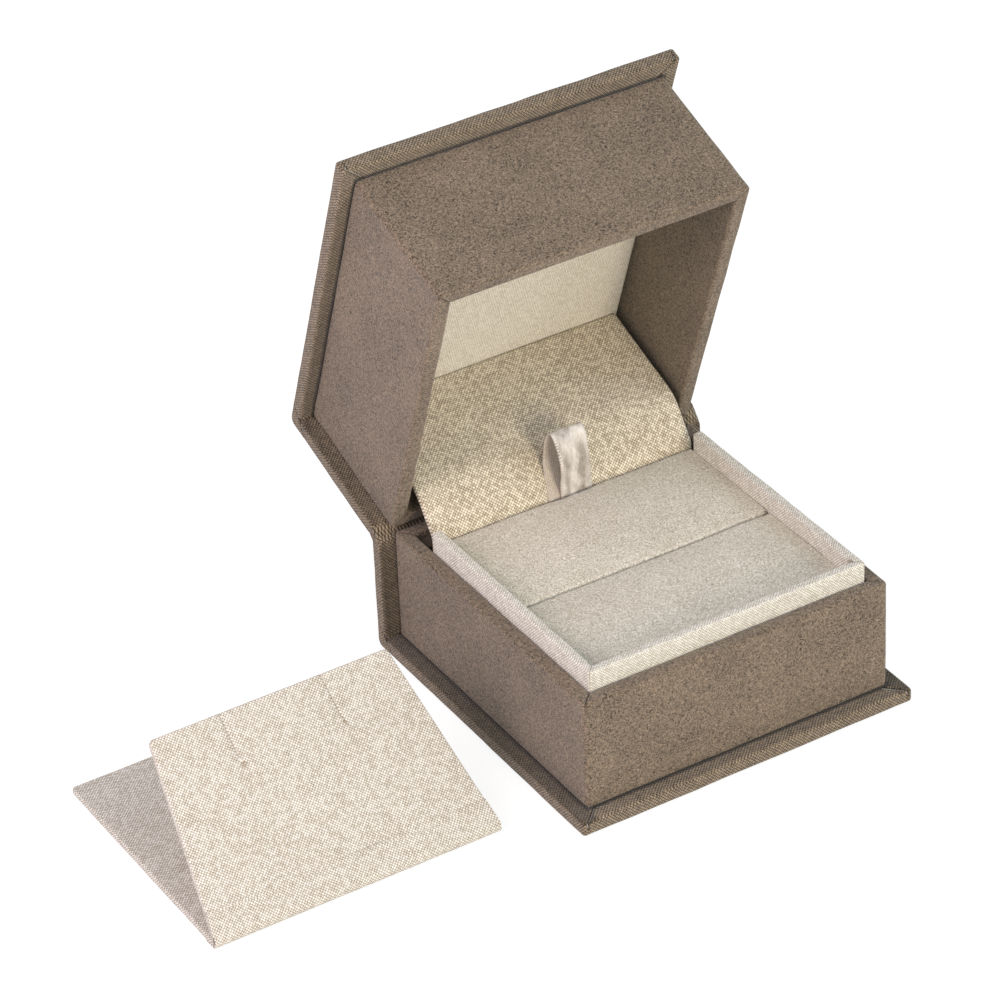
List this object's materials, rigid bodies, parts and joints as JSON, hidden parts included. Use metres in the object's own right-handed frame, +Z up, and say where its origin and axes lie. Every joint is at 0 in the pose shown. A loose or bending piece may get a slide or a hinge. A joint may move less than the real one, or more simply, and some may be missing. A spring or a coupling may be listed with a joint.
{
  "type": "hinged ring box",
  "caption": "Square cloth-covered ring box with a book-style hinged lid, padded ring slot with a lifting ribbon, and a loose folded card beside it.",
  "frame": {"origin": "middle of the box body's footprint, on the underside of the base's case board, which is the surface the box stands on", "axes": "+Z up, +X along the hinge towards the box's right side seen from the front, +Y from the front of the box to its hinge and spine"},
  "size_m": [0.1228, 0.0876, 0.0891],
  "materials": {
    "greyboard": "dense grey bookbinding board, matt",
    "case_cloth": "coarse heathered taupe woven book cloth, matt",
    "wall_board": "grey board, matt",
    "body_suede": "taupe suede-like flock, short nap",
    "tray_card": "white-lined card, matt",
    "collar_card": "white-lined card, matt",
    "collar_cloth": "cream fine twill cloth",
    "liner_cloth": "cream linen weave, slightly warm",
    "hinge_cloth": "dark taupe woven strip",
    "foam": "soft polyurethane foam",
    "pad_suede": "cream-grey suede-like cloth, short nap",
    "ribbon": "pearl-white satin ribbon with selvedges",
    "lining_cloth": "bright cream diagonal twill",
    "insert_card": "white card, matt",
    "insert_cloth": "cream linen-weave cloth"
  },
  "bodies": {
    "base": {"base_board": "greyboard", "base_spine_board": "greyboard", "base_case_cloth": "case_cloth", "base_wall_front": "wall_board", "base_wall_back": "wall_board", "base_wall_left": "wall_board", "base_wall_right": "wall_board", "base_suede": "body_suede", "tray_floor": "tray_card", "collar_front": "collar_card", "collar_left": "collar_card", "collar_right": "collar_card", "collar_cover": "collar_cloth", "liner_anchor": "collar_card", "hinge_liner": "liner_cloth", "hinge_cloth": "hinge_cloth"},
    "lid": {"lid_top_board": "greyboard", "lid_spine_board": "greyboard", "lid_case_cloth": "case_cloth", "lid_wall_front": "wall_board", "lid_wall_back": "wall_board", "lid_wall_left": "wall_board", "lid_wall_right": "wall_board", "lid_suede": "body_suede", "lid_lining_foam": "foam", "lid_lining_card": "collar_card", "lid_lining_cloth": "lining_cloth"},
    "ring_pad": {"pad_card": "collar_card", "pad_foam": "foam", "pad_suede": "pad_suede", "ribbon_loop": "ribbon"},
    "insert_lower": {"insert_lower_card": "insert_card", "insert_lower_cloth": "insert_cloth", "insert_fold_cloth": "insert_cloth"},
    "insert_upper": {"insert_upper_card": "insert_card", "insert_upper_cloth": "insert_cloth"}
  },
  "joints": [
    {"name": "lid_hinge", "type": "hinge", "parent": "base", "child": "lid", "pos_m": [0, 0.0287, 0.02275], "axis": [1, 0, 0], "range_deg": [0, 70], "deforming": ["hinge_liner", "hinge_cloth"]},
    {"name": "pad_lift", "type": "slide", "parent": "base", "child": "ring_pad", "axis": [0, 0, 1], "range_m": [0, 0.018], "deforming": ["ribbon_loop"]},
    {"name": "insert_lift", "type": "slide", "parent": "base", "child": "insert_lower", "axis": [0, 0, 1], "range_m": [0, 0.04]},
    {"name": "insert_fold", "type": "hinge", "parent": "insert_lower", "child": "insert_upper", "pos_m": [-0.0663, -0.0219, 0.00128], "axis": [1, 0, 0], "range_deg": [-36, 100], "deforming": ["insert_fold_cloth"]}
  ]
}
